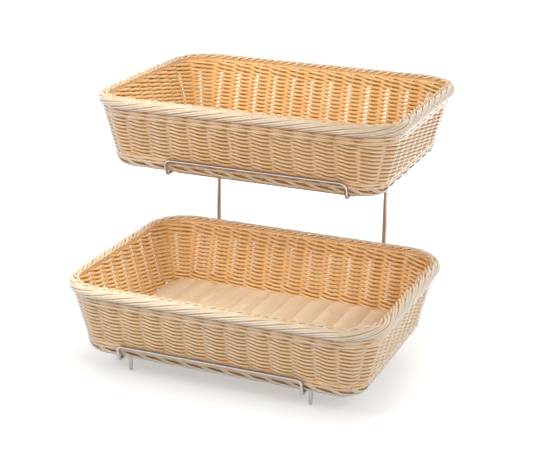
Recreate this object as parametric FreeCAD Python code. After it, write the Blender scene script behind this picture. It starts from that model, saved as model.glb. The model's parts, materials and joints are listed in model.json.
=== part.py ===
import FreeCAD, Part
import os
from math import atan, cos, degrees, pi, sin, sqrt, tan

# Two-tier bread basket stand, in millimetres, +Z up.
# Two loose woven baskets lie on the wire cradles of a welded, chromed stand.
# The origin is on the floor, under the middle of the whole object.
# +X runs along the baskets, and the upper tier stands back along +Y.

# Basket, outside sizes
basket_length = 400.0
basket_depth = 300.0
basket_height = 92.0
rim_corner_radius = 56.0
wall_lean = 21.0

# Rolled border along the top
rim_width = 13.0
rim_height = 14.0
rim_overhang = 4.0
rim_tuck_radius = 3.0
rim_crown_share = 0.92

# Woven wall: waled bands below and above a plainer field, round upright stakes
weaver_thickness = 2.6
wale_proud = 0.8
field_depth = 2.2
column_width = 16.0
column_rise = 1.3
column_root = 1.05
top_wale_height = 12.0
bottom_wale_height = 9.0
stake_diameter = 3.2
stake_pitch = 27.0
stake_clearance = 0.1

# Border round the foot
foot_height = 8.0
foot_width = 10.0
foot_edge_radius = 4.0
foot_inner_radius = 2.0

# Woven base: two sheets back to back, ridged over the stakes that run from front to back between them
base_middle_height = 7.3
base_sheet_thickness = 1.5
base_ridge_height = 2.9
base_ridge_share = 0.9
base_ridge_margin = 4.0
base_stake_pitch = 27.0

# Stand
floor_gap = 28.0
tier_rise = 193.0
tier_setback = 132.0
stand_width = 232.0
upright_diameter = 6.0
upright_gap = 6.0
cradle_diameter = 4.0
cradle_room = 2.0
cross_wire_diameter = 4.0
front_foot_diameter = 4.4
front_foot_setback = 34.0
cross_wire_setback = 34.0
bar_height = 17.0
bar_bend_radius = 7.0
wire_end_easing = 0.6
rest_clearance = 0.3

# Each basket lies loose, so it stands a little off the middle of its cradle
basket_stagger = 28.0
stand_shift = 7.0

# The wall leans out evenly all round, so every ring of it turns about the same corner axes.
# Distances across the wall are counted outwards from the line through those axes.
axis_x = basket_length / 2 - rim_corner_radius
axis_y = basket_depth / 2 - rim_corner_radius
wall_rise = basket_height - rim_height
lean_ratio = wall_lean / wall_rise
lean_angle = atan(lean_ratio)
foot_radius = rim_corner_radius - rim_overhang - wall_lean
foot_half_depth = axis_y + foot_radius

# Layers of the wall, as insets from its proud outer face
stake_gap_inset = wale_proud + weaver_thickness
inner_weave_inset = stake_gap_inset + stake_diameter + 2 * stake_clearance
inner_face_inset = inner_weave_inset + weaver_thickness
stake_inset = (stake_gap_inset + inner_weave_inset) / 2
field_low = foot_height + bottom_wale_height
field_high = wall_rise - top_wale_height

# Outline of the base, and the half width of a ridge
base_half_length = axis_x + foot_radius - foot_width
base_half_depth = axis_y + foot_radius - foot_width
base_radius = foot_radius - foot_width
base_stake_count = round(2 * base_half_length / base_stake_pitch)
half_ridge = base_half_length / base_stake_count * base_ridge_share

# Places of the two tiers and of the stand's side planes
lower_place = FreeCAD.Vector(basket_stagger / 2, -tier_setback / 2, floor_gap)
upper_place = FreeCAD.Vector(-basket_stagger / 2, tier_setback / 2, floor_gap + tier_rise)
left_plane = stand_shift - stand_width / 2
right_plane = stand_shift + stand_width / 2
rail_drop = rest_clearance + cradle_diameter / 2
rail_underside = rail_drop + cradle_diameter / 2
hook_bend_radius = foot_edge_radius + rail_drop
upright_y = lower_place.y + basket_depth / 2 + upright_gap + upright_diameter / 2


def rounded_wire(points, radii):
    """A closed flat outline of straight runs, with each corner rounded to its own radius."""
    count = len(points)
    edges, starts, ends = [], [], []
    for index, point in enumerate(points):
        before = (points[index - 1] - point).normalize()
        after = (points[(index + 1) % count] - point).normalize()
        half_angle = before.getAngle(after) / 2
        reach = radii[index] / tan(half_angle)
        starts.append(point + before * reach)
        ends.append(point + after * reach)
        if radii[index]:
            bisector = (before + after).normalize()
            middle = point + bisector * (radii[index] / sin(half_angle) - radii[index])
            edges.append(Part.Arc(starts[-1], middle, ends[-1]).toShape())
    for index in range(count):
        edges.append(Part.makeLine(ends[index], starts[(index + 1) % count]))
    return Part.Wire(Part.__sortEdges__(edges))


def led_round(corners, radii):
    """A solid ring: a profile, given outwards from the corner axes and up, led round the basket."""
    pieces = []
    for quarter in range(4):
        base, span = (axis_x, axis_y) if quarter % 2 == 0 else (axis_y, axis_x)
        points = [FreeCAD.Vector(base + out, -span, up) for out, up in corners]
        profile = Part.Face(rounded_wire(points, radii))
        side = profile.extrude(FreeCAD.Vector(0, 2 * span, 0))
        corner_axis = FreeCAD.Vector(base, span, 0)
        at_corner = profile.translated(FreeCAD.Vector(0, 2 * span, 0))
        corner = at_corner.revolve(corner_axis, FreeCAD.Vector(0, 0, 1), 90)
        for piece in (side, corner):
            pieces.append(piece.rotated(FreeCAD.Vector(), FreeCAD.Vector(0, 0, 1), 90 * quarter))
    return pieces[0].fuse(pieces[1:]).removeSplitter()


def wall_face(height, inset):
    """How far out the leaning wall stands at a height, moved inwards by an inset."""
    return foot_radius + lean_ratio * height - inset


def wall_band(low, high, outer_inset, inner_inset):
    """A band of the leaning wall between two heights and two insets."""
    corners = [
        (wall_face(low, inner_inset), low),
        (wall_face(low, outer_inset), low),
        (wall_face(high, outer_inset), high),
        (wall_face(high, inner_inset), high),
    ]
    return led_round(corners, [0, 0, 0, 0])


def rim_border():
    """The rolled border: round on top, tucked in beneath, flat where it sits on the wall."""
    outer = rim_corner_radius
    inner = rim_corner_radius - rim_width
    crown_radius = rim_width / 2 * rim_crown_share
    corners = [(inner, wall_rise), (outer, wall_rise), (outer, basket_height), (inner, basket_height)]
    return led_round(corners, [rim_tuck_radius, rim_tuck_radius, crown_radius, crown_radius])


def foot_border():
    """The border that the basket stands on, rounded under its outer edge."""
    inner = foot_radius - foot_width
    outer_top = wall_face(foot_height, 0)
    corners = [(inner, 0), (foot_radius, 0), (outer_top, foot_height), (inner, foot_height)]
    return led_round(corners, [foot_inner_radius, foot_edge_radius, 0, 0])


def stake_places():
    """Even places round the wall at half height, each as a point on a corner axis and a way out."""
    out = wall_face(wall_rise / 2, stake_inset)
    lengths = [2 * axis_x, out * pi / 2, 2 * axis_y, out * pi / 2] * 2
    count = 2 * round(sum(lengths) / stake_pitch / 2)
    spacing = sum(lengths) / count
    places = []
    for index in range(count):
        distance = (2 * index + 1) * spacing / 2
        stretch = 0
        while distance > lengths[stretch]:
            distance -= lengths[stretch]
            stretch += 1
        half_turn = 1 if stretch < 4 else -1
        angle = distance / out
        if stretch % 4 == 0:
            root, way = (distance - axis_x, -axis_y), (0, -1)
        elif stretch % 4 == 1:
            root, way = (axis_x, -axis_y), (sin(angle), -cos(angle))
        elif stretch % 4 == 2:
            root, way = (axis_x, distance - axis_y), (1, 0)
        else:
            root, way = (axis_x, axis_y), (cos(angle), sin(angle))
        places.append((FreeCAD.Vector(*root) * half_turn, FreeCAD.Vector(*way) * half_turn))
    return places


def side_stakes():
    """The upright stakes that the wall is woven round, from foot border to rim."""
    stakes = []
    for root, way in stake_places():
        low = root + way * wall_face(foot_height, stake_inset) + FreeCAD.Vector(0, 0, foot_height)
        high = root + way * wall_face(wall_rise, stake_inset) + FreeCAD.Vector(0, 0, wall_rise)
        end_slant = (high - low).normalize() * (stake_diameter / 2 * lean_ratio)
        run = high - low - end_slant * 2
        stakes.append(Part.makeCylinder(stake_diameter / 2, run.Length, low + end_slant, run))
    return Part.makeCompound(stakes)


def outer_weave():
    """The field between the wales, swelling into a shallow column over each stake."""
    columns = []
    for root, way in stake_places():
        low = root + way * wall_face(field_low, field_depth) + FreeCAD.Vector(0, 0, field_low)
        high = root + way * wall_face(field_high, field_depth) + FreeCAD.Vector(0, 0, field_high)
        aside = FreeCAD.Vector(-way.y, way.x, 0) * (column_width / 2)
        left = low - aside - way * column_root
        right = low + aside - way * column_root
        crest = low + way * column_rise
        outline = Part.Wire([Part.Arc(left, crest, right).toShape(), Part.makeLine(right, left)])
        columns.append(Part.Face(outline).extrude(high - low))
    return wall_band(field_low, field_high, field_depth, stake_gap_inset).fuse(columns)


def base_stake_lines():
    """Place along X and reach along Y of each base stake, with its ridge inside the rounded corners."""
    lines = []
    for index in range(base_stake_count):
        x = (2 * index + 1) * base_half_length / base_stake_count - base_half_length
        into_corner = max(abs(x) + half_ridge - axis_x, 0)
        reach = axis_y + sqrt(base_radius ** 2 - into_corner ** 2) - base_ridge_margin
        lines.append((x, reach))
    return lines


def base_rod(x, reach, radius):
    """A round rod at the base's middle height, from front to back."""
    start = FreeCAD.Vector(x, -reach, base_middle_height)
    return Part.makeCylinder(radius, 2 * reach, start, FreeCAD.Vector(0, 1, 0))


def base_sheet(side):
    """One sheet of the woven base, ridged over each stake, with half of the stakes' channels."""
    points = [FreeCAD.Vector(sx * base_half_length, sy * base_half_depth, base_middle_height)
              for sx, sy in ((1, 1), (-1, 1), (-1, -1), (1, -1))]
    plan = Part.Face(rounded_wire(points, [base_radius] * 4))
    sheet = plan.extrude(FreeCAD.Vector(0, 0, side * base_sheet_thickness))
    level = base_middle_height + side * base_sheet_thickness
    ridges, channels = [], []
    for x, reach in base_stake_lines():
        left = FreeCAD.Vector(x - half_ridge, -reach, level)
        right = FreeCAD.Vector(x + half_ridge, -reach, level)
        crest = FreeCAD.Vector(x, -reach, level + side * base_ridge_height)
        outline = Part.Wire([Part.Arc(left, crest, right).toShape(), Part.makeLine(right, left)])
        ridges.append(Part.Face(outline).extrude(FreeCAD.Vector(0, 2 * reach, 0)))
        channels.append(base_rod(x, reach, stake_diameter / 2 + stake_clearance))
    return sheet.fuse(ridges).removeSplitter().cut(Part.makeCompound(channels))


def base_stakes():
    """The stakes in the channels between the two sheets of the base."""
    rods = [base_rod(x, reach - stake_clearance, stake_diameter / 2) for x, reach in base_stake_lines()]
    return Part.makeCompound(rods)


def basket():
    """Every piece of one basket, standing on its foot at the origin."""
    return {
        "rim_border": rim_border(),
        "top_wale": wall_band(field_high, wall_rise, 0, stake_gap_inset),
        "outer_weave": outer_weave(),
        "bottom_wale": wall_band(foot_height, field_low, 0, stake_gap_inset),
        "inner_weave": wall_band(foot_height, wall_rise, inner_weave_inset, inner_face_inset),
        "side_stakes": side_stakes(),
        "foot_border": foot_border(),
        "base_upper_weave": base_sheet(1),
        "base_lower_weave": base_sheet(-1),
        "base_stakes": base_stakes(),
    }


def bent_wire(points, radii, diameter, closed):
    """A round wire of straight runs joined by tangent bends of the given radii."""
    count = len(points)
    pieces, starts, ends = [], [], []
    for index, point in enumerate(points):
        if not radii[index]:
            starts.append(point)
            ends.append(point)
            continue
        before = (points[index - 1] - point).normalize()
        after = (points[(index + 1) % count] - point).normalize()
        half_angle = before.getAngle(after) / 2
        reach = radii[index] / tan(half_angle)
        starts.append(point + before * reach)
        ends.append(point + after * reach)
        centre = point + (before + after).normalize() * (radii[index] / sin(half_angle))
        disc = Part.Face(Part.Wire(Part.makeCircle(diameter / 2, starts[-1], before)))
        pieces.append(disc.revolve(centre, after.cross(before), degrees(pi - 2 * half_angle)))
    for index in range(count if closed else count - 1):
        run = starts[(index + 1) % count] - ends[index]
        pieces.append(Part.makeCylinder(diameter / 2, run.Length, ends[index], run))
    return pieces[0].fuse(pieces[1:]).removeSplitter()


def straight_wire(start, end, diameter, eased_end=True):
    """A cut length of round wire, with its start, and mostly its end, eased."""
    run = end - start
    wire = Part.makeCylinder(diameter / 2, run.Length, start, run)
    eased = []
    for edge in wire.Edges:
        if not isinstance(edge.Curve, Part.Circle):
            continue
        at_start = (edge.Curve.Center - start).Length < run.Length / 2
        if at_start or eased_end:
            eased.append(edge)
    return wire.makeChamfer(wire_end_easing, eased)


def hook_corners(place, x, facing):
    """Corners of a cradle's path on one side: under the foot, then up along the wall."""
    stand_off = (cradle_room + cradle_diameter / 2) / cos(lean_angle)
    under = foot_half_depth - rail_drop * lean_ratio + stand_off
    beside = foot_half_depth + bar_height * lean_ratio + stand_off
    low = FreeCAD.Vector(x, place.y + facing * under, place.z - rail_drop)
    high = FreeCAD.Vector(x, place.y + facing * beside, place.z + bar_height)
    return [low, high]


def lower_cradle():
    """The lower cradle: two rails from the uprights, hooked up into the front bar."""
    rear = upright_y - upright_diameter / 2
    level = lower_place.z - rail_drop
    points = [FreeCAD.Vector(left_plane, rear, level)]
    points += hook_corners(lower_place, left_plane, -1)
    points += reversed(hook_corners(lower_place, right_plane, -1))
    points.append(FreeCAD.Vector(right_plane, rear, level))
    radii = [0, hook_bend_radius, bar_bend_radius, bar_bend_radius, hook_bend_radius, 0]
    return bent_wire(points, radii, cradle_diameter, False)


def upper_cradle():
    """The upper cradle: a closed loop, hooked up into a bar in front and one behind."""
    points = hook_corners(upper_place, left_plane, -1)
    points += reversed(hook_corners(upper_place, right_plane, -1))
    points += hook_corners(upper_place, right_plane, 1)
    points += reversed(hook_corners(upper_place, left_plane, 1))
    radii = [hook_bend_radius, bar_bend_radius, bar_bend_radius, hook_bend_radius] * 2
    return bent_wire(points, radii, cradle_diameter, True)


def post(x, y, diameter, place):
    """An upright wire, from the floor to the underside of a cradle's rail."""
    top = place.z - rail_underside
    return straight_wire(FreeCAD.Vector(x, y, 0), FreeCAD.Vector(x, y, top), diameter, False)


def cross_wire(place, y):
    """A straight wire welded across the undersides of a cradle's rails."""
    z = place.z - rail_underside - cross_wire_diameter / 2
    overhang = cradle_diameter / 2
    return straight_wire(FreeCAD.Vector(left_plane - overhang, y, z),
                         FreeCAD.Vector(right_plane + overhang, y, z), cross_wire_diameter)


def stand():
    """Every wire of the welded stand."""
    front_bar_y = hook_corners(lower_place, right_plane, -1)[1].y
    upper_bar_y = hook_corners(upper_place, right_plane, -1)[1].y
    rear_bar_y = hook_corners(upper_place, right_plane, 1)[1].y
    front_foot_y = front_bar_y + front_foot_setback
    behind_foot = front_foot_y + (front_foot_diameter + cross_wire_diameter) / 2
    before_upright = upright_y - (upright_diameter + cross_wire_diameter) / 2
    return {
        "left_upright": post(left_plane, upright_y, upright_diameter, upper_place),
        "right_upright": post(right_plane, upright_y, upright_diameter, upper_place),
        "left_front_foot": post(left_plane, front_foot_y, front_foot_diameter, lower_place),
        "right_front_foot": post(right_plane, front_foot_y, front_foot_diameter, lower_place),
        "lower_cradle_wire": lower_cradle(),
        "lower_front_cross_wire": cross_wire(lower_place, behind_foot),
        "lower_rear_cross_wire": cross_wire(lower_place, before_upright),
        "upper_cradle_wire": upper_cradle(),
        "upper_front_cross_wire": cross_wire(upper_place, upper_bar_y + cross_wire_setback),
        "upper_middle_cross_wire": cross_wire(upper_place, before_upright),
        "upper_rear_cross_wire": cross_wire(upper_place, rear_bar_y - cross_wire_setback),
    }


def all_pieces():
    """The stand's wires, and the basket's pieces once on each tier."""
    pieces = stand()
    for name, shape in basket().items():
        for tier, place in (("lower", lower_place), ("upper", upper_place)):
            pieces[f"{tier}_{name}"] = shape.translated(place)
    return pieces


os.makedirs("parts", exist_ok=True)
for name, shape in all_pieces().items():
    shape.exportStep(f"parts/{name}.step")
    print(name, len(shape.Solids), shape.isValid(), round(shape.Volume))
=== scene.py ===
# %% [markdown]
# # A two-tier bread basket stand
# Two woven baskets lie on a chromed wire stand, one behind and above the other.
# The stand's wires come from the solid model as they are and only get their finish.
# The baskets are woven here from real strands, because a weave drawn on a smooth wall
# looks flat as soon as light falls along it. Every woven piece follows the named piece of
# the solid model that it stands for, so it moves with the basket when that is lifted.

# %% Load the solid model
import json
from math import copysign, cos, pi, radians, sin
import bpy
from mathutils import Matrix, Vector

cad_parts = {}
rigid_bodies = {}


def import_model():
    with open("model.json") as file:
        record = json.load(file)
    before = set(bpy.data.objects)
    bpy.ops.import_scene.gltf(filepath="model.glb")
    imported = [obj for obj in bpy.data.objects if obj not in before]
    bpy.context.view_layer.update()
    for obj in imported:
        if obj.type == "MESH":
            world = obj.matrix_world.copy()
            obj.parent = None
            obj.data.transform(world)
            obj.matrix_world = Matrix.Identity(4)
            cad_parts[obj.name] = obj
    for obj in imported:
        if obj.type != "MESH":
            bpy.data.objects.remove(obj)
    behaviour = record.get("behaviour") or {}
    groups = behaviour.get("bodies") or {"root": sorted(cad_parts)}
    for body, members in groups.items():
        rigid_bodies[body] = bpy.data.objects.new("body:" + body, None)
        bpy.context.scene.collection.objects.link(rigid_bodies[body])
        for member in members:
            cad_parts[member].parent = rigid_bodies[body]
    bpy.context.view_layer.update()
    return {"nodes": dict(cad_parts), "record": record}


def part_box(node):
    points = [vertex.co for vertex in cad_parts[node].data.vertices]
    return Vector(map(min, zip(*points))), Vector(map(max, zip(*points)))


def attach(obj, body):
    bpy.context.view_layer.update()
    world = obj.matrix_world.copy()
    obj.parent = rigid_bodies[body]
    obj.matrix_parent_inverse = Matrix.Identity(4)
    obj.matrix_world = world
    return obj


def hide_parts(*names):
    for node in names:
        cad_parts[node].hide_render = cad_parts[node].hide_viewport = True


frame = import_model()
print("pieces in the solid model:", len(frame["nodes"]))

# %% [markdown]
# ## Sizes of a basket
# The sizes could be typed in again, but then a change to the solid model would leave the weave
# behind. Instead they are read from the boxes of the lower basket's solids, and only the radius
# of the rim's corners and the thickness of the cane are stated.

# %% Read the basket's sizes
mm = 0.001
rim_low, rim_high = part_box("lower_rim_border")
foot_low, foot_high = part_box("lower_foot_border")
field_low, field_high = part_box("lower_outer_weave")
wale_low, wale_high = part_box("lower_top_wale")
base_low, base_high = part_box("lower_base_upper_weave")
upper_rim_low, upper_rim_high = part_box("upper_rim_border")

cane = 3.0 * mm
stake = 3.2 * mm
rim_corner = 56 * mm
stake_pitch = 27 * mm

lower_place = Vector(((rim_low[0] + rim_high[0]) / 2, (rim_low[1] + rim_high[1]) / 2, foot_low[2]))
tier_step = Vector(upper_rim_low) - Vector(rim_low)
axis_x = (rim_high[0] - rim_low[0]) / 2 - rim_corner
axis_y = (rim_high[1] - rim_low[1]) / 2 - rim_corner
foot_top = foot_high[2] - foot_low[2]
field_bottom = field_low[2] - foot_low[2]
field_top = field_high[2] - foot_low[2]
wall_top = rim_low[2] - foot_low[2]
basket_top = rim_high[2] - foot_low[2]
print("basket", rim_high[0] - rim_low[0], "x", rim_high[1] - rim_low[1], "x", basket_top)

# %% [markdown]
# ## The line round the basket
# Everything in the wall runs round the same rounded rectangle. A place on it is counted in stakes,
# so a strand that should pass in front of one stake and behind the next only needs whole numbers.
# The wall leans, so how far out a point lies is worked out from its height.

# %% Places round the wall
wall_top_out = (wale_high[0] - wale_low[0]) / 2 - axis_x
foot_top_out = (foot_high[0] - foot_low[0]) / 2 - axis_x
lean = (wall_top_out - foot_top_out) / (wall_top - foot_top)
foot_out = foot_top_out - lean * foot_top
stake_inset = 5.5 * mm


def wall_out(height, inset=stake_inset):
    """How far out from the corner axes the wall stands at a height."""
    return foot_out + lean * height - inset


middle_out = wall_out(wall_top / 2)
stretches = [2 * axis_x, middle_out * pi / 2, 2 * axis_y, middle_out * pi / 2] * 2
stake_count = 2 * round(sum(stretches) / stake_pitch / 2)
spacing = sum(stretches) / stake_count


def round_the_wall(place, out, up):
    """The point at a place counted in stakes, a distance out and a height."""
    distance = (place + 0.5) * spacing % sum(stretches)
    stretch = 0
    while distance > stretches[stretch]:
        distance -= stretches[stretch]
        stretch += 1
    turn = distance / middle_out
    side = stretch % 4
    if side == 0:
        point = (distance - axis_x, -axis_y - out)
    elif side == 1:
        point = (axis_x + out * sin(turn), -axis_y - out * cos(turn))
    elif side == 2:
        point = (axis_x + out, distance - axis_y)
    else:
        point = (axis_x + out * cos(turn), axis_y + out * sin(turn))
    half = 1 if stretch < 4 else -1
    return Vector((half * point[0], half * point[1], up))


print("stakes", stake_count, "spacing in mm", spacing / mm, "lean", lean)

# %% [markdown]
# ## Strands
# A strand is a round cane on a path. A curve with a round bevel gives an even tube on any path,
# which extruding a circle by hand could not do for hundreds of strands. The curve is then made
# a mesh, so the finished piece is plain geometry.

# %% Helper: strands along paths
def weave_piece(name, paths, diameter, closed, sides=6):
    """One mesh of round strands, one along each path."""
    bpy.ops.object.select_all(action="DESELECT")
    curve = bpy.data.curves.new(name, "CURVE")
    curve.dimensions = "3D"
    curve.bevel_depth = diameter / 2
    curve.bevel_resolution = sides // 2 - 2
    curve.use_fill_caps = True
    for path in paths:
        spline = curve.splines.new("POLY")
        spline.points.add(len(path) - 1)
        for point, place in zip(spline.points, path):
            point.co = (*place, 1)
        spline.use_cyclic_u = closed
    piece = bpy.data.objects.new(name, curve)
    bpy.context.collection.objects.link(piece)
    bpy.context.view_layer.objects.active = piece
    piece.select_set(True)
    bpy.ops.object.convert(target="MESH")
    bpy.ops.object.shade_smooth()
    piece = bpy.context.view_layer.objects.active
    print(name, len(paths), "strands,", len(piece.data.polygons), "faces")
    return piece


# %% [markdown]
# ## The field of the wall
# Each row is a pair of strands. At every stake one of them passes outside and the other inside,
# and between two stakes they cross, one over the other. That puts a short slanting stroke over
# every stake in every row, so the wall reads as upright columns with small gaps beside the stakes.

# %% Field: paired rows round the stakes
row_count = 10
points_per_stake = 8
row_pitch = (field_top - field_bottom) / row_count
field_cane = 4.1 * mm
reach = 3.6 * mm
crossing = 1.3 * mm


def paired_strand(height, first):
    """One strand of a pair: outside at every second stake, slanting down to the right."""
    path = []
    for step in range(stake_count * points_per_stake):
        place = step / points_per_stake
        phase = pi * (place + first)
        up = height - crossing * copysign(abs(sin(phase)) ** 0.6, sin(phase))
        path.append(round_the_wall(place, wall_out(up) + reach * cos(phase), up))
    return path


field_rows = [field_bottom + (row + 0.5) * row_pitch for row in range(row_count)]
field_paths = [paired_strand(up, first) for up in field_rows for first in (0, 1)]
field = weave_piece("field_weave", field_paths, field_cane, True)

# %% [markdown]
# ## The waled bands
# Under the rim and above the foot the maker weaves with three strands at a time. Each passes
# outside two stakes and inside the third, so its stroke is twice as long and the band closer.
# Three separate strands could be drawn for each row. One strand that goes three times round gives
# the same picture, because the number of stakes can't be divided by three. The uppermost row lies
# behind the rim and only shows inside.

# %% Wales: three strands, two stakes out and one in
wale_cane = 4.0 * mm
wale_slant = 0.36
rows_above_foot = 2
rows_under_rim = 3
behind_rim = 3.5 * mm


def waled_strand(height, drop):
    """A row of three strands as one long strand that goes three times round the basket."""
    outward = (1, 1, -1)
    path = []
    for step in range(3 * stake_count * points_per_stake):
        place = step / points_per_stake
        turn = place % 3
        start = int(turn)
        ease = (1 - cos(pi * (turn - start))) / 2
        out = outward[start] + (outward[(start + 1) % 3] - outward[start]) * ease
        fall = (turn + 0.5) % 3
        up = height + drop * (1 - fall if fall < 2 else 2 * fall - 5)
        path.append(round_the_wall(place, wall_out(up) + reach * out, up))
    return path


def waled_band(name, low, high, rows):
    """A band of waled rows between two heights."""
    pitch = (high - low) / rows
    paths = [waled_strand(low + (row + 0.5) * pitch, pitch * wale_slant) for row in range(rows)]
    return weave_piece(name, paths, wale_cane, True)


top_wale = waled_band("top_wale_weave", field_top, wall_top + behind_rim, rows_under_rim)
bottom_wale = waled_band("bottom_wale_weave", foot_top, field_bottom, rows_above_foot)

# %% [markdown]
# ## The stakes
# The stakes stand between the strands and show through the small gaps. They are straight canes
# from the foot border up into the rim.

# %% Side stakes
side_stake = 4.2 * mm
side_stake_low = foot_top * 0.6
side_stake_high = wall_top + 3 * mm
round_sides = 8


def stake_path(index):
    """The straight line of one stake."""
    return [round_the_wall(index, wall_out(up), up) for up in (side_stake_low, side_stake_high)]


stake_paths = [stake_path(index) for index in range(stake_count)]
stakes = weave_piece("side_stake_canes", stake_paths, side_stake, False, round_sides)

# %% [markdown]
# ## The rolled rim
# The stakes' ends are doubled, laid to the right and rolled over the edge. Each strand comes from
# behind the wale, climbs the outside in a long slant, crosses the top and dips into the roll. The path
# of one strand is given by a few points on the rim's section with how far along the rim each lies, and
# a smooth curve runs through them. Two strands per stake, laid close together, make the whole roll.

# %% Helper: strands rolled over an edge
smooth_steps = 4


def smooth_through(keys, steps):
    """Points on a smooth curve through keys, each key a tuple of numbers."""
    result = []
    for index in range(len(keys) - 1):
        before, start = keys[max(index - 1, 0)], keys[index]
        end, after = keys[index + 1], keys[min(index + 2, len(keys) - 1)]
        for step in range(steps):
            t = step / steps
            result.append(tuple(
                0.5 * (2 * b + (c - a) * t + (2 * a - 5 * b + 4 * c - d) * t ** 2
                       + (3 * b - a - 3 * c + d) * t ** 3)
                for a, b, c, d in zip(before, start, end, after)))
    result.append(tuple(keys[-1]))
    return result


def rolled_strand(section, place, out, low):
    """One strand of a rolled border, from its section and the place where it starts."""
    path = []
    for outwards, up, along in smooth_through(section, smooth_steps):
        path.append(round_the_wall(place + along * mm / spacing, out + outwards * mm, low + up * mm))
    return path


# %% Rim strands
# Each point of the section is outwards, up and along, in millimetres.
rim_section = [
    (-6.6, 1.6, -9), (-3.8, 0.5, 0), (-1.8, 2.4, 10), (-1.4, 5.8, 27),
    (-2.4, 9.0, 43), (-5.0, 10.8, 58), (-7.6, 9.8, 68), (-8.2, 6.6, 74),
]
rim_out = rim_corner
rim_cane = 3.4 * mm
rim_pair_step = 0.4
rim_paths = []
for index in range(stake_count):
    for place in (index, index + rim_pair_step):
        rim_paths.append(rolled_strand(rim_section, place, rim_out, wall_top))
rim = weave_piece("rim_strands", rim_paths, rim_cane, False)

# %% [markdown]
# ## The core of the rim
# Between the strands one should not look through the roll. On the real basket the stakes' bent ends
# fill it. Two thick canes that run round inside the roll do the same here.

# %% Rim core
core_points_per_stake = 4
rim_core_cane = 5.2 * mm
rim_core_out = rim_out - 6.6 * mm
rim_core_heights = (wall_top + 3.6 * mm, wall_top + 6.4 * mm)


def core_path(out, up):
    """A line round the basket at one height."""
    steps = range(stake_count * core_points_per_stake)
    return [round_the_wall(step / core_points_per_stake, out, up) for step in steps]


rim_core_paths = [core_path(rim_core_out, up) for up in rim_core_heights]
rim_core = weave_piece("rim_core", rim_core_paths, rim_core_cane, True, round_sides)

# %% [markdown]
# ## The twist along the inside of the rim
# Where the rolled strands dive in, a pair of thinner strands is twisted along the inner edge to hold
# them. Its small loops show as a row of beads behind the roll. A row of single loops would do from one
# side. Two strands that run on a circle round the same line, half a turn apart, do from every side.

# %% Rim twist
twists_per_stake = 1.25
twist_points_per_stake = 12
twist_cane = 2.8 * mm
twist_radius = 1.8 * mm
twist_out = rim_out - 9.8 * mm
twist_height = wall_top + 10.4 * mm


def twisted_strand(start):
    """One strand of the pair, from its share of a turn at the first stake."""
    path = []
    for step in range(stake_count * twist_points_per_stake):
        place = step / twist_points_per_stake
        angle = 2 * pi * (place * twists_per_stake + start)
        out = twist_out + twist_radius * cos(angle)
        path.append(round_the_wall(place, out, twist_height + twist_radius * sin(angle)))
    return path


rim_twist = weave_piece("rim_twist", [twisted_strand(0), twisted_strand(0.5)], twist_cane, True)

# %% [markdown]
# ## The foot border
# At the foot a pair of strands leaves the wall beside each stake, slants down to the right and joins
# a roll that runs along the bottom edge. Seen from the side, each pair leaves a small opening.
# It is made like the rim, from a section and a core, with the two strands of a pair closer together.

# %% Foot strands
foot_section = [
    (2.4, 12.0, 0), (1.4, 8.0, 7), (-0.2, 4.2, 16), (-2.0, 2.1, 36), (-5.0, 1.5, 58),
    (-7.8, 2.0, 76), (-8.5, 4.6, 88),
]
foot_pair_step = 0.16
foot_paths = []
for index in range(stake_count):
    for place in (index, index + foot_pair_step):
        foot_paths.append(rolled_strand(foot_section, place, foot_out, 0))
foot = weave_piece("foot_strands", foot_paths, cane, False)

# %% Foot core
foot_core_cane = 4.2 * mm
foot_core_out = foot_out - 5.2 * mm
foot_core_height = 4.6 * mm
foot_core_paths = [core_path(foot_core_out, foot_core_height)]
foot_core = weave_piece("foot_core", foot_core_paths, foot_core_cane, True, round_sides)

# %% [markdown]
# ## The base
# The base is woven the same way as the wall, but its stakes run from front to back and its rows are
# beaten close together, so it shows broad smooth ridges with fine lines across them. A ridged sheet
# would give the ridges but no lines, so it is woven from strands too. They reach a little under the
# wall, so that no light shows along the edge.

# %% Base weave
base_tuck = 3 * mm
base_length = base_high[0] - base_low[0]
base_half_y = (base_high[1] - base_low[1]) / 2 + base_tuck
base_radius = base_length / 2 - axis_x + base_tuck
base_stake_count = round(base_length / stake_pitch)
base_pitch = base_length / base_stake_count
base_level = 7.3 * mm
base_cane = 3.1 * mm
base_sway = 0.7 * mm
base_points_per_stake = 5
base_row_pitch = 3.4 * mm
base_row_count = round(2 * base_half_y / base_row_pitch)


def base_half_width(y):
    """Half the width of the rounded base at a place from front to back."""
    into_corner = max(abs(y) - axis_y, 0)
    return axis_x + (base_radius ** 2 - min(into_corner, base_radius) ** 2) ** 0.5


def base_strand(y, first):
    """One strand of a pair that crosses the base from left to right."""
    half = base_half_width(y)
    steps = int(2 * half / base_pitch * base_points_per_stake)
    path = []
    for step in range(steps + 1):
        x = -half + 2 * half * step / steps
        phase = pi * (x / base_pitch + first + 0.5 * ((base_stake_count + 1) % 2))
        up = base_level + (stake + cane) / 2 * cos(phase)
        path.append(Vector((x, y + base_sway * sin(phase), up)))
    return path


base_rows = [(row + 0.5) * 2 * base_half_y / base_row_count - base_half_y for row in range(base_row_count)]
base_paths = [base_strand(y, first) for y in base_rows for first in (0, 1)]
base_weave = weave_piece("base_weave", base_paths, base_cane, False)

# %% [markdown]
# ## The stakes of the base
# They lie inside the ridges and only their ends show from below. Straight canes are enough, each as
# long as the rounded base is at its place.

# %% Base stakes
base_stake_paths = []
for index in range(base_stake_count):
    x = (index + 0.5) * base_pitch - base_length / 2
    into_corner = max(abs(x) - axis_x, 0)
    end = axis_y + (base_radius ** 2 - into_corner ** 2) ** 0.5
    base_stake_paths.append([Vector((x, -end, base_level)), Vector((x, end, base_level))])
base_stakes = weave_piece("base_stake_canes", base_stake_paths, stake, False, round_sides)

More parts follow.
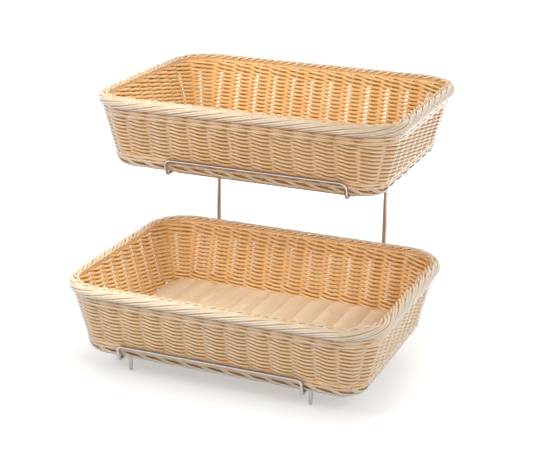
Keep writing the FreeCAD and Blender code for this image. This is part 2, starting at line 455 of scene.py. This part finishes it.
# %% [markdown]
# ## The cane
# The baskets are of pale plastic cane with a satin gloss. The gaps look deep orange because light that
# goes from strand to strand loses its blue and green each time, so a strong warm colour does it and
# no painted shadow is needed. The gloss lies on top as a coat, which keeps the lit strokes pale.
# A soft noise keeps neighbouring strands from being exactly alike. The rim, the foot and the base look
# paler from sheen and top light on the same cane. That paleness is painted in as a lighter pair of
# colours, a painted sheen, over a core of the deeper one.

# %% Helper: a material from its settings
def new_material(name, settings):
    """A material whose main shader has the given settings, and that shader."""
    material = bpy.data.materials.new(name)
    material.use_nodes = True
    shader = material.node_tree.nodes["Principled BSDF"]
    for socket, value in settings.items():
        shader.inputs[socket].default_value = value
    return material, shader


# %% Cane finish
satin_gloss = {
    "Roughness": 0.34, "IOR": 1.9, "Specular IOR Level": 0.9,
    "Coat Weight": 1.0, "Coat IOR": 1.8, "Coat Roughness": 0.26,
}


def cane_material(name, darker, lighter):
    """Satin plastic cane that varies a little between two colours."""
    finish, shader = new_material(name, satin_gloss)
    tree = finish.node_tree
    coordinates = tree.nodes.new("ShaderNodeTexCoord")
    noise = tree.nodes.new("ShaderNodeTexNoise")
    noise.inputs["Scale"].default_value = 60
    noise.inputs["Detail"].default_value = 2
    ramp = tree.nodes.new("ShaderNodeValToRGB")
    ramp.color_ramp.elements[0].position = 0.3
    ramp.color_ramp.elements[0].color = (*darker, 1)
    ramp.color_ramp.elements[1].position = 0.7
    ramp.color_ramp.elements[1].color = (*lighter, 1)
    tree.links.new(coordinates.outputs["Object"], noise.inputs["Vector"])
    tree.links.new(noise.outputs["Fac"], ramp.inputs["Fac"])
    tree.links.new(ramp.outputs["Color"], shader.inputs["Base Color"])
    return finish


wall_cane = cane_material("plastic_cane", (0.97, 0.55, 0.17), (0.98, 0.64, 0.26))
# The lighter pair is a painted sheen: the same cane, lightened where sheen and top light make it look
# paler.
sheen_painted_cane = cane_material("pale_plastic_cane", (0.9, 0.64, 0.38), (0.92, 0.73, 0.5))
print("made", wall_cane.name, "and", sheen_painted_cane.name)

# %% [markdown]
# ## Two baskets from one
# The woven pieces stand at the origin so far. Each is joined with what belongs to it, moved to the
# lower tier, and copied with a mesh of its own for the upper tier. Each copy then rides on its basket.

# %% Finish and join the woven pieces
def joined(main, *extras):
    """Main and what belongs to it as one piece, each keeping its finish."""
    bpy.ops.object.select_all(action="DESELECT")
    for extra in extras:
        extra.select_set(True)
    main.select_set(True)
    bpy.context.view_layer.objects.active = main
    bpy.ops.object.join()
    return main


# The rim, its twist, the foot and the base get the painted-sheen cane; the cores and the walls keep the
# cane's own colour.
for piece in (rim, rim_twist, foot, base_weave, base_stakes):
    piece.data.materials.append(sheen_painted_cane)
for piece in (rim_core, top_wale, field, bottom_wale, stakes, foot_core):
    piece.data.materials.append(wall_cane)
woven = [
    (joined(rim, rim_core, rim_twist), ["rim_border"]),
    (top_wale, ["top_wale"]),
    (field, ["outer_weave", "inner_weave"]),
    (bottom_wale, ["bottom_wale"]),
    (stakes, ["side_stakes"]),
    (joined(foot, foot_core), ["foot_border"]),
    (base_weave, ["base_upper_weave", "base_lower_weave"]),
    (base_stakes, ["base_stakes"]),
]
print("pieces of one basket:", len(woven))

# %% Place the baskets
for piece, nodes in woven:
    name = piece.name
    upper = piece.copy()
    upper.data = piece.data.copy()
    bpy.context.collection.objects.link(upper)
    for tier, copy, place in (("lower", piece, lower_place), ("upper", upper, lower_place + tier_step)):
        copy.name = f"{tier}_{name}"
        copy.data.transform(Matrix.Translation(place))
        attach(copy, f"{tier}_basket")
        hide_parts(*[f"{tier}_{node}" for node in nodes])
print("woven pieces on each tier:", len(woven))

# %% [markdown]
# ## The chromed wires
# The stand's wires are already right in the solid model: round wires with true bends. They only need
# chrome, which is a mirror-like metal with a very small roughness. Its edges are tinted darker, because
# on a white ground a thin wire with bright edges looks too thin.

# %% Chrome finish
chrome, chrome_shader = new_material("bright_chrome", {
    "Base Color": (0.54, 0.5, 0.49, 1), "Specular Tint": (0.4, 0.37, 0.36, 1),
    "Metallic": 1.0, "Roughness": 0.14,
})
stand_nodes = [
    part["node"] for part in frame["record"]["subparts"] if part["material_slot"] == "chrome_wire"
]
for name in stand_nodes:
    wire = frame["nodes"][name]
    wire.data.materials.clear()
    wire.data.materials.append(chrome)
print("chromed wires:", len(stand_nodes))

# %% [markdown]
# ## The white floor
# The photograph is a product shot on white, with a soft shadow under the stand. Lighting a floor until it
# is white would bleach the baskets. So the floor and the surroundings are white only where the camera or
# the chrome looks at them, and give the baskets much less light than that. Near the stand the floor glows
# less, so that its shadow stays.

# %% Helper: what the camera sees directly
def seen_directly(tree, otherwise, seen):
    """A number that is one value for what is seen or mirrored, and another for the light it gives."""
    rays = tree.nodes.new("ShaderNodeLightPath")
    mirrored = tree.nodes.new("ShaderNodeMath")
    mirrored.operation = "MAXIMUM"
    either = tree.nodes.new("ShaderNodeMath")
    either.operation = "MAXIMUM"
    span = tree.nodes.new("ShaderNodeMapRange")
    span.inputs["To Min"].default_value = otherwise
    span.inputs["To Max"].default_value = seen
    tree.links.new(rays.outputs["Is Glossy Ray"], mirrored.inputs[0])
    tree.links.new(rays.outputs["Is Transmission Ray"], mirrored.inputs[1])
    tree.links.new(rays.outputs["Is Camera Ray"], either.inputs[0])
    tree.links.new(mirrored.outputs["Value"], either.inputs[1])
    tree.links.new(either.outputs["Value"], span.inputs["Value"])
    return span.outputs["Result"]


# %% Floor
floor_size = 30
floor_height = -0.5 * mm
floor_bounce = 0.12
glow_starts = 0.3
glow_full = 0.9
glow_near_stand = 0.4
bpy.ops.object.select_all(action="DESELECT")
bpy.ops.mesh.primitive_plane_add(size=floor_size, location=(0, 0, floor_height))
floor = bpy.context.active_object
floor.name = "studio_floor"
floor_finish, floor_shader = new_material("white_floor", {
    "Roughness": 0.9, "Specular IOR Level": 0.1, "Emission Color": (1, 1, 1, 1),
})
floor_tree = floor_finish.node_tree
floor_tree.links.new(seen_directly(floor_tree, floor_bounce, 1.0), floor_shader.inputs["Base Color"])
floor_place = floor_tree.nodes.new("ShaderNodeTexCoord")
from_middle = floor_tree.nodes.new("ShaderNodeVectorMath")
from_middle.operation = "LENGTH"
brightening = floor_tree.nodes.new("ShaderNodeMapRange")
brightening.inputs["From Min"].default_value = glow_starts
brightening.inputs["From Max"].default_value = glow_full
brightening.inputs["To Min"].default_value = glow_near_stand
brightening.inputs["To Max"].default_value = 1.0
glow = floor_tree.nodes.new("ShaderNodeMath")
glow.operation = "MULTIPLY"
floor_tree.links.new(floor_place.outputs["Object"], from_middle.inputs[0])
floor_tree.links.new(from_middle.outputs["Value"], brightening.inputs["Value"])
floor_tree.links.new(brightening.outputs["Result"], glow.inputs[0])
floor_tree.links.new(seen_directly(floor_tree, 0, 1), glow.inputs[1])
floor_tree.links.new(glow.outputs["Value"], floor_shader.inputs["Emission Strength"])
floor.data.materials.append(floor_finish)
print("floor", floor_size, "m wide")

# %% [markdown]
# ## The lamps
# A main lamp from the front left shapes the strands and puts a pale stroke on each. A mirror-like wire
# would show it as a white line, so it lights everything but the wires. A side lamp, a top lamp and a back
# lamp fill the shade softly. In the photograph light also comes through the cane and makes the insides
# glow, so each basket has a small lamp of its own above its front rim that lights only that basket.

# %% Helper: a soft lamp
def soft_lamp(name, place, aim, size, power):
    """A square lamp at a place, turned towards a point."""
    bpy.ops.object.light_add(type="AREA", location=place)
    lamp = bpy.context.active_object
    lamp.name = name
    lamp.data.size = size
    lamp.data.energy = power
    lamp.visible_glossy = False
    lamp.rotation_euler = (Vector(aim) - Vector(place)).to_track_quat("-Z", "Y").to_euler()
    print(name, "of", power, "watts")
    return lamp


# %% Main lamp
stand_middle = (0, 0, 0.15)
main_lamp = soft_lamp("main_lamp", place=(-1.1, -1.6, 1.62), aim=stand_middle, size=0.8, power=9.5)
main_lamp.data.color = (1, 0.97, 0.97)
main_lamp.visible_glossy = True
lit_by_main = bpy.data.collections.new("lit_by_main_lamp")
for piece in bpy.data.objects:
    if piece.type == "MESH" and piece.name not in stand_nodes:
        lit_by_main.objects.link(piece)
main_lamp.light_linking.receiver_collection = lit_by_main

# %% Filling lamps
soft_lamp("side_lamp", place=(1.6, -1.2, 1.5), aim=stand_middle, size=1.0, power=8)
top_lamp = soft_lamp("top_lamp", place=(0.1, -0.3, 2.4), aim=stand_middle, size=1.0, power=10)
top_lamp.data.color = (0.85, 0.94, 1)
soft_lamp("back_lamp", place=(-0.2, 2.2, 0.9), aim=stand_middle, size=1.4, power=26)

# %% Inside lamps
inside_lamp_size = 0.25
inside_lamp_power = 0.66
inside_lamp_place = Vector((-0.1, -0.21, 0.32))
inside_lamp_aim = Vector((0.04, 0.05, 0.07))
for tier, step in (("lower", Vector()), ("upper", tier_step)):
    inside_lamp = soft_lamp(f"{tier}_inside_lamp", inside_lamp_place + step, inside_lamp_aim + step,
                            inside_lamp_size, inside_lamp_power)
    inside_lamp.visible_camera = False
    lit_inside = bpy.data.collections.new(f"lit_by_{tier}_inside_lamp")
    for piece in lit_by_main.objects:
        if piece.name.startswith(tier):
            lit_inside.objects.link(piece)
    inside_lamp.light_linking.receiver_collection = lit_inside

# %% [markdown]
# ## The dark card and the surroundings
# Chrome on white would be white all over. In a studio a dark cloth is hung where the metal mirrors it.
# The card here does the same: it hangs above the stand and shows in mirrors only. The surroundings are
# an even white that gives a little light from everywhere.

# %% Dark card
card_width = 3.0
card_depth = 3.3
card_place = (0, -0.2, 1.5)
bpy.ops.mesh.primitive_plane_add(size=1, location=card_place)
card = bpy.context.active_object
card.name = "dark_card_above"
card.scale = (card_width, card_depth, 1)
card_finish, card_shader = new_material("dark_card_above", {"Base Color": (0.02, 0.02, 0.02, 1)})
card.data.materials.append(card_finish)
card.visible_camera = False
card.visible_diffuse = False
card.visible_transmission = False
card.visible_shadow = False
print("dark card at", card_place)

# %% Surroundings
light_from_around = 0.33
world = bpy.data.worlds.new("studio")
bpy.context.scene.world = world
world.use_nodes = True
background = world.node_tree.nodes["Background"]
background.inputs["Color"].default_value = (1, 1, 1, 1)
world.node_tree.links.new(seen_directly(world.node_tree, light_from_around, 1.0),
                          background.inputs["Strength"])
print("surroundings give light of", light_from_around)

# %% [markdown]
# ## The camera
# A camera fitted to the outlines in the photograph looks from the front right, a little above.
# Its place is worked out from that angle, so the numbers stay readable.

# %% Camera
view_turn = radians(22.18)
view_rise = radians(18.89)
view_roll = radians(0.79)
view_distance = 1.684
view_target = Vector((0.02457, -0.066, 0.1738))
back = Vector((sin(view_turn) * cos(view_rise), -cos(view_turn) * cos(view_rise), sin(view_rise)))
level_right = Vector((cos(view_turn), sin(view_turn), 0))
level_up = back.cross(level_right)
right = level_right * cos(view_roll) + level_up * sin(view_roll)
up = level_up * cos(view_roll) - level_right * sin(view_roll)
bpy.ops.object.camera_add()
camera = bpy.context.active_object
view_axes = Matrix((right, up, back)).transposed().to_4x4()
camera.matrix_world = Matrix.Translation(view_target + back * view_distance) @ view_axes
camera.data.sensor_fit = "HORIZONTAL"
camera.data.sensor_width = 36
camera.data.lens = 94.97
bpy.context.scene.camera = camera
bpy.context.scene.view_settings.view_transform = "Standard"
print("camera at", tuple(round(value, 3) for value in camera.location))
